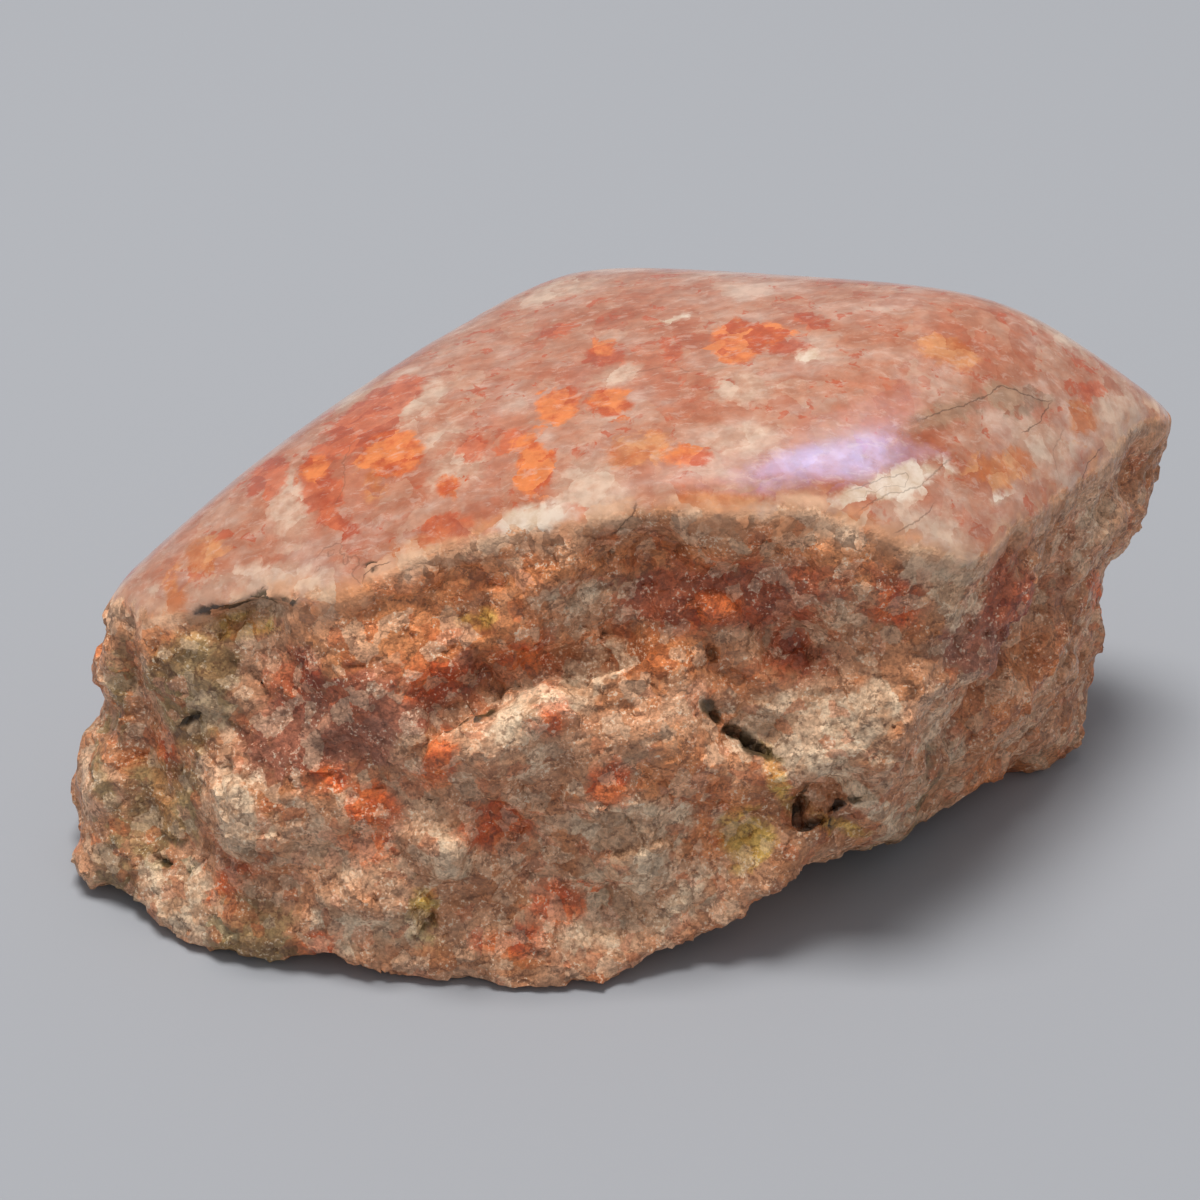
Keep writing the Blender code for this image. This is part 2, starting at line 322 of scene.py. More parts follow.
CRACKS = {
    "long crack by the grey patch": Crack(((930, 417), (952, 408), (980, 400), (1001, 385), (1038, 400))),
    "short crack under it": Crack(((1046, 410), (1040, 420), (1029, 428))),
    "slit on the right rim": Crack(((1087, 474), (1093, 461), (1099, 452))),
    "slit in the front rim": Crack(((618, 528), (633, 514))),
    "slit on the left": Crack(((365, 571), (379, 565))),
    "crack under the flaky chip": Crack(((868, 505), (880, 496), (905, 492), (925, 482), (944, 464)), 0.6),
    "crack in the flaky chip": Crack(((862, 486), (884, 478), (902, 474)), 0.6),
    "green crack": Crack(((905, 526), (921, 518), (930, 508)), 0.7),
    "upper ripple": Crack(((326, 548), (338, 544), (350, 549), (359, 559)), 0.5),
    "middle ripple": Crack(((324, 557), (337, 553), (349, 558), (357, 568)), 0.5),
    "lower ripple": Crack(((325, 567), (337, 562), (347, 567), (354, 576)), 0.5),
    "crack beside the orange block": Crack(((352, 446), (343, 462), (346, 480), (340, 494)), 0.45),
    "crack across the crown": Crack(((640, 372), (668, 366), (690, 372), (716, 368)), 0.4),
    "crack on the right slope": Crack(((1060, 436), (1052, 452), (1058, 470)), 0.4),
}


@dataclass(frozen=True)
class Ledge:
    """A broken edge: its start and end in pixels, and in millimetres its drop to the right and its reach."""

    start: tuple[float, float]
    end: tuple[float, float]
    drop: float
    reach: float


LEDGES = {
    "slab edge, right half": Ledge((645, 660), (500, 701), 1.8, 6.0),
    "slab edge, left half": Ledge((505, 699), (430, 737), 1.7, 6.0),
    "edge below the rust spots": Ledge((466, 783), (534, 825), 0.9, 6.0),
    "long fold on the right, lower half": Ledge((928, 748), (992, 675), 1.5, 7.0),
    "long fold on the right, upper half": Ledge((986, 680), (1040, 636), 1.3, 7.0),
    "short fold on the right": Ledge((993, 621), (1046, 580), 1.1, 5.0),
    "cornice on the right": Ledge((1088, 568), (1138, 505), 1.4, 6.0),
    "foot of the front": Ledge((300, 893), (215, 868), 0.8, 5.0),
    "edge of the pale chunk": Ledge((262, 868), (216, 764), 1.0, 4.0),
}


@dataclass(frozen=True)
class PhotoView:
    """A camera chosen to fit the photograph, in millimetres, and the square frame of it in pixels."""

    frame_size: float = 1200.0
    lens: float = 85.0
    sensor: float = 36.0
    elevation: float = 34.0
    distance: float = 320.0
    clip_start: float = 10.0
    target: Triple = (-3.214, -10.553, 33.0)

    def axes(self) -> np.ndarray:
        """The ways right, up and forward of the camera.

        Returns:
            Three unit vectors, one in each row.
        """
        tilt = math.radians(self.elevation)
        sine, cosine = math.sin(tilt), math.cos(tilt)
        return np.array([[1.0, 0.0, 0.0], [0.0, sine, cosine], [0.0, cosine, -sine]])

    def eye(self) -> np.ndarray:
        """The place of the lens."""
        return np.array(self.target) - self.distance * self.axes()[2]

    def line(self, across: float, down: float) -> np.ndarray:
        """The way from the lens through a pixel.

        Args:
            across: pixels from the left edge of the photograph.
            down: pixels from its top edge.

        Returns:
            A unit vector in the frame of the stone.
        """
        right, up, forward = self.axes()
        half = self.frame_size / 2.0
        focal = self.frame_size * self.lens / self.sensor
        way = forward + right * (across - half) / focal - up * (down - half) / focal
        return way / np.linalg.norm(way)

    def facing(self, points: np.ndarray, normals: np.ndarray) -> np.ndarray:
        """How far the surface turns to the lens at each place, 1 where it looks straight into it."""
        ways = self.eye() - points
        return (normals * ways).sum(axis=1) / np.linalg.norm(ways, axis=1)

    def stand_camera(self) -> None:
        """Stand the camera at the photograph's viewing angle, and make it the scene's own."""
        lens = bpy.data.cameras.new("photo camera")
        lens.lens = self.lens
        lens.sensor_width = self.sensor
        lens.clip_start = self.clip_start * MM
        camera = bpy.data.objects.new("photo camera", lens)
        right, up, forward = self.axes()
        turned = Matrix(np.array([right, up, -forward]).T.tolist()).to_4x4()
        turned.translation = Vector(self.eye() * MM)
        camera.matrix_world = turned
        bpy.context.scene.collection.objects.link(camera)
        bpy.context.scene.camera = camera


@dataclass(frozen=True)
class PolishedCap:
    """The dome left by polishing: gently sloping planes, rounded into each other.

    Each plane is its height over the origin and its rise for each millimetre along x and along y. The
    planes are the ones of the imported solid, whose plan was centred by the shift.
    """

    planes: tuple[Triple, ...] = (
        (57.6, 0.17, -0.07),
        (64.2, 0.45, 0.44),
        (66.2, -0.12, 0.56),
        (118.2, 1.45, -1.09),
        (129.5, -0.63, -1.56),
        (95.6, -0.94, 0.64),
    )
    shift: Triple = (3.214, 10.553, 0.0)
    rounding: float = 4.0

    def height_over(self, points: np.ndarray) -> np.ndarray:
        """How far places lie outside the polish.

        Args:
            points: places in millimetres.

        Returns:
            One distance for each point, in millimetres, negative inside.
        """
        heights, rises_x, rises_y = np.array(self.planes).T
        upward = np.stack([-rises_x, -rises_y, np.ones_like(heights)])
        values = ((points + self.shift) @ upward - heights) / np.linalg.norm(upward, axis=0)
        largest = values.max(axis=1, keepdims=True)
        return largest[:, 0] + self.rounding * np.log(np.exp((values - largest) / self.rounding).sum(axis=1))

    def slope_at(self, points: np.ndarray, step: float = 0.05) -> np.ndarray:
        """How fast the height over the polish grows along x, y and z, read a small step apart."""
        height = self.height_over(points)
        return np.stack([self.height_over(points + move) - height for move in step * np.eye(3)], 1) / step

    def laid_on(self, points: np.ndarray, passes: int = 3) -> np.ndarray:
        """The nearest places on the polish.

        Args:
            points: places near the polish, in millimetres.
            passes: how often each place is moved along the slope of the field.

        Returns:
            The moved places.
        """
        for _ in range(passes):
            slope = self.slope_at(points)
            points = points - slope * (self.height_over(points) / (slope**2).sum(axis=1))[:, None]
        return points


def lattice_dice(corners: np.ndarray, seed: float) -> np.ndarray:
    """Three even random numbers from 0 to 1 for each whole-numbered corner; a seed gives its own."""
    rolled = np.sin(corners @ DICE_SPREAD + seed * DICE_SEED_STEP) * DICE_STRETCH
    return rolled - np.floor(rolled)


def clouds(points: np.ndarray, size: float, seed: float) -> np.ndarray:
    """Smooth random values of one size.

    Args:
        points: places in millimetres.
        size: distance between the random values.
        seed: another number gives other clouds.

    Returns:
        Values from -1 to 1.
    """
    scaled = points / size
    corner = np.floor(scaled)
    share = scaled - corner
    share = share * share * (3.0 - 2.0 * share)
    total = np.zeros(len(points))
    for step in np.ndindex(2, 2, 2):
        weight = np.where(np.array(step) == 1, share, 1.0 - share).prod(axis=1)
        total += weight * lattice_dice(corner + step, seed)[:, 0]
    return 2.0 * total - 1.0


@dataclass(frozen=True)
class CloudLayer:
    """One layer of smooth random values: how strong it is, its size in millimetres, and its dice."""

    strength: float
    size: float
    seed: float

    def at(self, points: np.ndarray) -> np.ndarray:
        """The layer's values at places in millimetres."""
        return self.strength * clouds(points, self.size, self.seed)


def eased(values: np.ndarray) -> np.ndarray:
    """0 below 0, 1 above 1, and an even curve between them."""
    share = np.clip(values, 0.0, 1.0)
    return share * share * (3.0 - 2.0 * share)


@dataclass(frozen=True)
class CrystalGrain:
    """Crystals of one size: each a flat face, raised and tilted at random, with a seam round it."""

    size: float
    rise: float
    tilt: float
    seam: float
    seed: float
    seam_width: float = 0.35
    face_seed_step: float = 5.0

    def relief(self, points: np.ndarray) -> np.ndarray:
        """Heights of the crystal faces.

        Args:
            points: places on the broken sides, in millimetres.

        Returns:
            One height for each point, in millimetres.
        """
        scaled = points / self.size
        corner = np.floor(scaled)
        nearest = np.full(len(points), np.inf)
        second = np.full(len(points), np.inf)
        away = np.zeros_like(points)
        dice = np.zeros_like(points)
        for step in np.ndindex(3, 3, 3):
            place = corner + step - 1.0
            roll = lattice_dice(place, self.seed)
            gap = scaled - place - roll
            distance = (gap**2).sum(axis=1)
            nearer = distance < nearest
            second = np.where(nearer, nearest, np.minimum(second, distance))
            nearest = np.where(nearer, distance, nearest)
            away[nearer] = gap[nearer]
            dice[nearer] = lattice_dice(place[nearer], self.seed + self.face_seed_step)
        edge = (np.sqrt(second) - np.sqrt(nearest)) * self.size
        lean = dice * 2.0 - 1.0
        height = self.rise * (2.0 * dice[:, 0] - 1.0) + self.tilt * self.size * (lean * away).sum(axis=1)
        return height - self.seam * np.exp(-((edge / self.seam_width) ** 2))


class PlacedMark:
    """A mark of the photograph, laid on the stone as an ellipsoid."""

    EXTRA_DEPTH = 1.5

    def __init__(self, middle: np.ndarray, along: np.ndarray, over: np.ndarray) -> None:
        """Keep the middle and the two half axes of the mark.

        Args:
            middle: where the mark lies, in millimetres.
            along: its half length, as a vector on the surface.
            over: its half width, as a vector on the surface.
        """
        self.middle = middle
        self.size = math.sqrt(np.linalg.norm(along) * np.linalg.norm(over))
        normal = np.cross(along, over)
        depth = self.EXTRA_DEPTH + max(np.linalg.norm(along), np.linalg.norm(over))
        self.axes = np.stack([along, over, depth * normal / np.linalg.norm(normal)], axis=1)

    def inside(self, points: np.ndarray) -> np.ndarray:
        """How far inside the mark's edge the points are, in millimetres, negative outside."""
        shares = (points - self.middle) @ np.linalg.inv(self.axes).T
        return (1.0 - np.linalg.norm(shares, axis=1)) * self.size


class StoneMap:
    """The solid's skin, on which marks of the photograph are laid."""

    FARTHEST_STRETCH = 2.6
    LEDGE_WAVER = (CloudLayer(1.0, 4.0, 31.0), CloudLayer(0.7, 1.5, 32.0))
    LEDGE_FACE = 0.8
    LEDGE_THICKNESS = 5.0
    FAR_FROM_CRACKS = 9.0
    CRACK_FADE = 0.7
    CRACK_FADES = 2.2

    def __init__(self, mesh: bpy.types.Mesh, view: PhotoView) -> None:
        """Keep a search tree of the skin.

        Args:
            mesh: the skin, in metres.
            view: the camera of the photograph.
        """
        places = [vertex.co / MM for vertex in mesh.vertices]
        self.tree = BVHTree.FromPolygons(places, [list(face.vertices) for face in mesh.polygons])
        self.view = view

    def place(self, mark: Mark) -> PlacedMark:
        """Lay a mark on the stone through the lens of the photograph.

        Args:
            mark: the mark in pixels.

        Returns:
            The mark on the surface.
        """
        eye = self.view.eye()
        line = self.view.line(mark.across, mark.down)
        hit, normal, _, far = self.tree.ray_cast(Vector(eye), Vector(line))
        if hit is None:
            hit, normal, _, _ = self.tree.find_nearest(Vector(eye + line * self.view.distance))
            far = (hit - Vector(eye)).length
        middle, normal = np.array(hit), np.array(normal)
        turn = math.radians(mark.turn)
        pixel = far / (self.view.frame_size * self.view.lens / self.view.sensor)
        axes = []
        for reach, angle in ((mark.half_length, turn), (mark.half_width, turn + math.pi / 2.0)):
            way = self.view.line(mark.across + reach * math.cos(angle), mark.down - reach * math.sin(angle))
            axis = eye + way * ((middle - eye) @ normal) / (way @ normal) - middle
            length = np.linalg.norm(axis)
            axes.append(axis * min(1.0, self.FARTHEST_STRETCH * reach * pixel / length))
        return PlacedMark(middle, *axes)

    def ledge_relief(self, ledge: Ledge, points: np.ndarray) -> np.ndarray:
        """Heights beside a broken edge: a sharp drop that runs out on its low side.

        Args:
            ledge: the edge in pixels.
            points: places on the skin, in millimetres.

        Returns:
            One height for each point, in millimetres, 0 or less.
        """
        eye = Vector(self.view.eye())
        hits = [self.tree.ray_cast(eye, Vector(self.view.line(*end)))[:2] for end in (ledge.start, ledge.end)]
        start, end = (np.array(hit) for hit, _ in hits)
        normal = sum(np.array(way) for _, way in hits)
        along = end - start
        length = np.linalg.norm(along)
        aside = np.cross(along, normal)
        aside /= np.linalg.norm(aside)
        away = points - start
        share = away @ along / length**2
        low = sum((layer.at(points) for layer in self.LEDGE_WAVER), away @ aside)
        height = np.abs(away @ normal) / np.linalg.norm(normal)
        # A ledge fades over a quarter of its length around each end, and away from its own face
        ends = eased(4.0 * share + 0.5) * eased(4.5 - 4.0 * share)
        fade = ends * eased(2.5 - height / self.LEDGE_THICKNESS)
        return -ledge.drop * eased(low / self.LEDGE_FACE) * eased(1.0 - low / ledge.reach) * fade

    def crack_gaps(self, cracks: list[Crack], points: np.ndarray) -> tuple[np.ndarray, np.ndarray]:
        """How far each place lies beside the nearest crack, and how strongly that crack shows there.

        Args:
            cracks: the cracks in pixels.
            points: places on the skin, in millimetres.

        Returns:
            The distance beside the crack, with a sign for its side, and the strength from 0 to 1.
        """
        eye = Vector(self.view.eye())
        nearest = np.full(len(points), np.inf)
        beside = np.full(len(points), self.FAR_FROM_CRACKS)
        strength = np.zeros(len(points))
        for crack in cracks:
            hits = [self.tree.ray_cast(eye, Vector(self.view.line(*pixel)))[:2] for pixel in crack.line]
            for (start, normal), (end, _) in zip(hits, hits[1:]):
                along = np.array(end - start)
                aside = np.cross(along, normal)
                away = points - np.array(start)
                share = np.clip(away @ along / (along @ along), 0.0, 1.0)
                distance = np.linalg.norm(away - share[:, None] * along, axis=1)
                nearer = distance < nearest
                nearest[nearer] = distance[nearer]
                beside[nearer] = (away @ aside / np.linalg.norm(aside))[nearer]
                strength[nearer] = crack.strength
        return beside, strength * eased(self.CRACK_FADES - nearest / self.CRACK_FADE)


@dataclass
class SunstoneBody:
    """The whole stone: one closed skin with a polished top and broken sides."""

    view: PhotoView
    node: str = "rough_sunstone"
    piece_name: str = "sunstone_body"
    slot: str = "sunstone"
    weld_reach: float = 0.001
    even_size: float = 1.15
    fine_reach: float = 2.2
    polish_depth: float = 0.35
    facet_depth: float = 1.5
    polish_turn: float = 0.93
    lip_reach: float = 3.0
    lip_drop: float = 0.6
    lip_passes: int = 12
    lip_blend: float = 0.6
    lip_blend_span: float = 1.25
    laid_reach: float = 2.5
    chip_reach: float = 2.6
    chip_depth: float = 0.45
    chip_level: float = 0.5
    chip_limit: float = 0.45
    chip_mess: tuple[CloudLayer, ...] = (CloudLayer(0.5, 5.0, 21.0), CloudLayer(0.3, 1.8, 22.0))
    chip_floor: CloudLayer = CloudLayer(0.5, 1.1, 23.0)
    resting_height: float = 0.6
    level_height: float = 0.05
    carved_edge: float = 0.8
    carved_share: float = 0.45
    carved_mess: tuple[CloudLayer, ...] = (CloudLayer(0.6, 2.4, 9.0), CloudLayer(0.7, 1.1, 10.0))
    calm_size: float = 1.3
    sharp_angle: float = 34.0
    hidden_turn: float = -0.05
    farthest_outside: float = -4.0
    scatter_seed: int = 11
    scatter_sizes: tuple[float, float] = (0.8, 1.2)
    cap: PolishedCap = field(default_factory=PolishedCap)
    grains: tuple[CrystalGrain, ...] = (
        CrystalGrain(size=5.5, rise=0.24, tilt=0.08, seam=0.08, seed=1.0),
        CrystalGrain(size=2.8, rise=0.16, tilt=0.13, seam=0.05, seed=2.0),
        CrystalGrain(size=1.5, rise=0.07, tilt=0.12, seam=0.02, seed=3.0),
    )

    def build(self) -> bpy.types.Object:
        """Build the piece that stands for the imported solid, and hang it on the stone's body.

        Returns:
            The piece, without its material.
        """
        skin = self.evened_skin()
        chart = StoneMap(skin, self.view)
        self.refine(skin)
        points, normals = self.skin_arrays(skin)
        edges = np.array([edge.vertices[:] for edge in skin.edges])
        shaped, relief, rim = self.shaped(points, normals, edges, chart)
        for vertex, place in zip(skin.vertices, shaped * MM):
            vertex.co = place
        self.write(skin, "relief", relief)
        self.write(skin, "rim", rim)
        self.write_cracks(skin, shaped, chart)
        self.write_tints(skin, shaped, normals, rim, chart)
        self.sharpen(skin)
        piece = bpy.data.objects.new(self.piece_name, skin)
        bpy.context.scene.collection.objects.link(piece)
        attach(piece, "root")
        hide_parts(self.node)
        return piece

    def evened_skin(self) -> bpy.types.Mesh:
        """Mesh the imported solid's skin anew with even faces.

        Returns:
            The new mesh, in metres.
        """
        solid = bmesh.new()
        solid.from_mesh(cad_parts[self.node].data)
        bmesh.ops.remove_doubles(solid, verts=solid.verts[:], dist=self.weld_reach * MM)
        welded = bpy.data.meshes.new("welded stone")
        solid.to_mesh(welded)
        solid.free()
        carrier = bpy.data.objects.new("welded stone", welded)
        bpy.context.scene.collection.objects.link(carrier)
        evening = carrier.modifiers.new("evening", "REMESH")
        evening.mode = "VOXEL"
        evening.voxel_size = self.even_size * MM
        graph = bpy.context.evaluated_depsgraph_get()
        skin = bpy.data.meshes.new_from_object(carrier.evaluated_get(graph))
        bpy.data.objects.remove(carrier, do_unlink=True)
        skin.name = self.piece_name
        return skin

    def refine(self, skin: bpy.types.Mesh) -> None:
        """Halve the edges of the broken sides and of the rim, which carry the finest relief.

        Args:
            skin: the evened mesh, which is changed.
        """
        worked = bmesh.new()
        worked.from_mesh(skin)
        places, normals = self.skin_arrays(skin)
        broken = ~self.on_polish(places, normals) & (places[:, 2] > self.resting_height)
        finder = KDTree(int(broken.sum()))
        for index in np.flatnonzero(broken):
            finder.insert(places[index], int(index))
        finder.balance()
        fine = [flag or finder.find(place)[2] < self.fine_reach for flag, place in zip(broken, places)]
        fine = [flag and place[2] > self.resting_height for flag, place in zip(fine, places)]
        faces = [face for face in worked.faces if all(fine[vertex.index] for vertex in face.verts)]
        edges = {edge for face in faces for edge in face.edges}
        bmesh.ops.subdivide_edges(worked, edges=list(edges), cuts=1, use_grid_fill=True)
        bmesh.ops.triangulate(worked, faces=[face for face in worked.faces if len(face.verts) > 4])
        worked.to_mesh(skin)
        worked.free()

    @staticmethod
    def skin_arrays(skin: bpy.types.Mesh) -> tuple[np.ndarray, np.ndarray]:
        """Read a mesh into arrays.

        Args:
            skin: the mesh, in metres.

        Returns:
            Its vertices in millimetres, and its vertex normals.
        """
        points = np.empty(len(skin.vertices) * 3)
        normals = np.empty(len(skin.vertices) * 3)
        skin.vertices.foreach_get("co", points)
        skin.vertex_normals.foreach_get("vector", normals)
        return points.reshape(-1, 3) / MM, normals.reshape(-1, 3)

    def on_polish(self, points: np.ndarray, normals: np.ndarray) -> np.ndarray:
        """Which places of the evened skin belong to the polish.

        Args:
            points: places in millimetres.
            normals: unit normals there.

        Returns:
            True for each place that lies on the polish or on a flat facet just under it.
        """
        depth = -self.cap.height_over(points)
        slope = self.cap.slope_at(points)
        turn = (slope * normals).sum(axis=1) / np.linalg.norm(slope, axis=1)
        return (depth < self.polish_depth) | ((depth < self.facet_depth) & (turn > self.polish_turn))

    def smoothed(self, points: np.ndarray, edges: np.ndarray, share: np.ndarray) -> np.ndarray:
        """Places moved towards the middle of their neighbours.

        Args:
            points: the vertices of the skin, in millimetres.
            edges: the two vertices of each edge.
            share: how much of the way each vertex moves in one pass.

        Returns:
            The moved places.
        """
        ends = np.concatenate([edges[:, 0], edges[:, 1]])
        others = np.concatenate([edges[:, 1], edges[:, 0]])
        counts = np.bincount(ends, minlength=len(points))[:, None]
        for _ in range(self.lip_passes):
            totals = [np.bincount(ends, points[others, axis], len(points)) for axis in range(3)]
            points = points + share[:, None] * (np.stack(totals, axis=1) / counts - points)
        return points

    def shaped(
        self, points: np.ndarray, normals: np.ndarray, edges: np.ndarray, chart: StoneMap
    ) -> tuple[np.ndarray, np.ndarray, np.ndarray]:
        """Raise the crystals and dents of the broken sides, and lay the top on the polish.

        Args:
            points: the evened skin, in millimetres.
            normals: its vertex normals.
            edges: the two vertices of each of its edges.
            chart: lays the marks of the photograph on the stone.

        Returns:
            The places of the finished skin, the height of its relief, and its distance from the rim of
            the polish, positive on the polish, all in millimetres.
        """
        relief = sum(grain.relief(points) for grain in self.grains)
        mess = sum(layer.at(points) for layer in self.carved_mess)
        for mark, height in CARVED_MARKS.values():
            placed = chart.place(mark)
            inside = placed.inside(points) + mess * min(1.0, placed.size / self.calm_size)
            relief += height * eased(inside / max(self.carved_edge, self.carved_share * placed.size))
        for ledge in LEDGES.values():
            relief += chart.ledge_relief(ledge, points)
        polished = self.on_polish(points, normals)
        rim = self.rim_distance(points, polished)
        relief *= np.clip(points[:, 2] / self.resting_height, 0.0, 1.0) * eased(-rim / self.lip_reach)
        laid = points + (self.cap.laid_on(points) - points) * eased(rim / self.laid_reach)[:, None]
        raised = np.where(polished[:, None], laid, points + normals * relief[:, None])
        excess = np.maximum(self.cap.height_over(raised) + self.worn_depth(raised, rim), 0.0)
        raised -= self.cap.slope_at(raised) * excess[:, None]
        share = self.lip_blend * eased(self.lip_blend_span - np.abs(rim) / self.lip_reach)
        raised = self.smoothed(raised, edges, share)
        raised[:, 2] = np.where(points[:, 2] < self.level_height, 0.0, np.maximum(raised[:, 2], 0.0))
        return raised, relief, rim

    def worn_depth(self, points: np.ndarray, rim: np.ndarray) -> np.ndarray:
        """How far under the polish the stone is worn round and chipped along the rim.

        Args:
            points: places on the skin, in millimetres.
            rim: their distance from the rim.

        Returns:
            One depth for each point, in millimetres.
        """
        rounded = self.lip_drop * np.clip(1.0 - np.abs(rim) / self.lip_reach, 0.0, 1.0) ** 2
        mess = sum((layer.at(points) for layer in self.chip_mess), self.chip_level)
        chips = eased(self.chip_reach * (mess - self.chip_limit) - np.abs(rim))
        return rounded + self.chip_depth * chips * (1.0 + self.chip_floor.at(points))

    def write_cracks(self, skin: bpy.types.Mesh, points: np.ndarray, chart: StoneMap) -> None:
        """Write each vertex's distance beside the nearest crack, and how strongly that crack shows there.

        Args:
            skin: the finished skin, which takes the attributes.
            points: its vertices, in millimetres.
            chart: lays the cracks of the photograph on the stone.
        """
        beside, strength = chart.crack_gaps(list(CRACKS.values()), points)
        self.write(skin, "crack", beside)
        self.write(skin, "crack strength", strength)

    def write_tints(
        self, skin: bpy.types.Mesh, points: np.ndarray, normals: np.ndarray, rim: np.ndarray, chart: StoneMap
    ) -> None:
        """Write how far each vertex lies inside the nearest patch of each tint.

        Args:
            skin: the finished skin, which takes the attributes.
            points: its vertices, in millimetres.
            normals: its vertex normals before the relief.
            rim: their distance from the rim of the polish.
            chart: lays the marks of the photograph on the stone.
        """
        hidden = self.view.facing(points, normals) < self.hidden_turn
        dice = np.random.default_rng(self.scatter_seed)
        for tint, marks in COLOUR_MARKS.items():
            placed = [chart.place(mark) for mark in marks.values()]
            if tint not in ONE_OFF_TINTS:
                side = (rim > 0.0) == (tint in POLISH_TINTS)
                chosen = hidden & side
                count = round(len(marks) * chosen.sum() / (side & ~hidden).sum())
                placed += self.scattered(placed, count, points[chosen], normals[chosen], dice)
            inside = np.full(len(points), self.farthest_outside)
            for mark in placed:
                inside = np.maximum(inside, mark.inside(points))
            self.write(skin, tint.value, inside)

    def scattered(
        self,
        seen: list[PlacedMark],
        count: int,
        points: np.ndarray,
        normals: np.ndarray,
        dice: np.random.Generator,
    ) -> list[PlacedMark]:
        """More marks like the seen ones, on the sides that the photograph doesn't show.

        Args:
            seen: the marks of one tint that the photograph shows.
            count: how many new marks are made.
            points: places on the unseen sides, in millimetres.
            normals: unit normals there.
            dice: the random numbers, drawn in a fixed order.

        Returns:
            The new marks.
        """
        made = []
        for turn in range(count):
            mark = seen[turn % len(seen)]
            index = int(dice.integers(len(points)))
            lean = np.cross(normals[index], dice.normal(size=3))
            lean /= np.linalg.norm(lean)
            lengths = np.linalg.norm(mark.axes[:, :2], axis=0) * dice.uniform(*self.scatter_sizes)
            over = np.cross(normals[index], lean)
            made.append(PlacedMark(points[index], lean * lengths[0], over * lengths[1]))
        return made

    @staticmethod
    def rim_distance(points: np.ndarray, polished: np.ndarray) -> np.ndarray:
        """Distance from the rim of the polish, in millimetres: positive on the polish, negative below.

        Args:
            points: the vertices of the evened skin, in millimetres.
            polished: which of them lie on the polish.

        Returns:
            One signed distance for each vertex.
        """
        finders = {}
        for side in (True, False):
            chosen = np.flatnonzero(polished == side)
            finders[side] = KDTree(len(chosen))
            for index in chosen:
                finders[side].insert(points[index], int(index))
            finders[side].balance()
        distances = [finders[not side].find(place)[2] for side, place in zip(polished.tolist(), points)]
        return np.where(polished, distances, -np.array(distances))

    @staticmethod
    def write(skin: bpy.types.Mesh, name: str, values: np.ndarray) -> None:
        """Write one number for each vertex of the skin, as an attribute of that name."""
        attribute = skin.attributes.new(name, "FLOAT", "POINT")
        attribute.data.foreach_set("value", np.ascontiguousarray(values, dtype=np.float32))

    def sharpen(self, skin: bpy.types.Mesh) -> None:
        """Shade the skin smooth, apart from the sharp edges between its crystals.

        Args:
            skin: the finished mesh, which is changed.
        """
        worked = bmesh.new()
        worked.from_mesh(skin)
        limit = math.radians(self.sharp_angle)
        for face in worked.faces:
            face.smooth = True
        for edge in worked.edges:
            edge.smooth = edge.calc_face_angle(0.0) < limit
        worked.to_mesh(skin)
        worked.free()


def tone(red: float, green: float, blue: float) -> tuple[float, float, float, float]:
    """A colour as the photograph's own numbers, from 0 to 255, turned into linear light.

    Args:
        red: the red number.
        green: the green number.
        blue: the blue number.

    Returns:
        The colour in linear light, with full alpha.
    """
    shares = (value / 255.0 for value in (red, green, blue))
    linear = [share / 12.92 if share <= 0.04045 else ((share + 0.055) / 1.055) ** 2.4 for share in shares]
    return (*linear, 1.0)


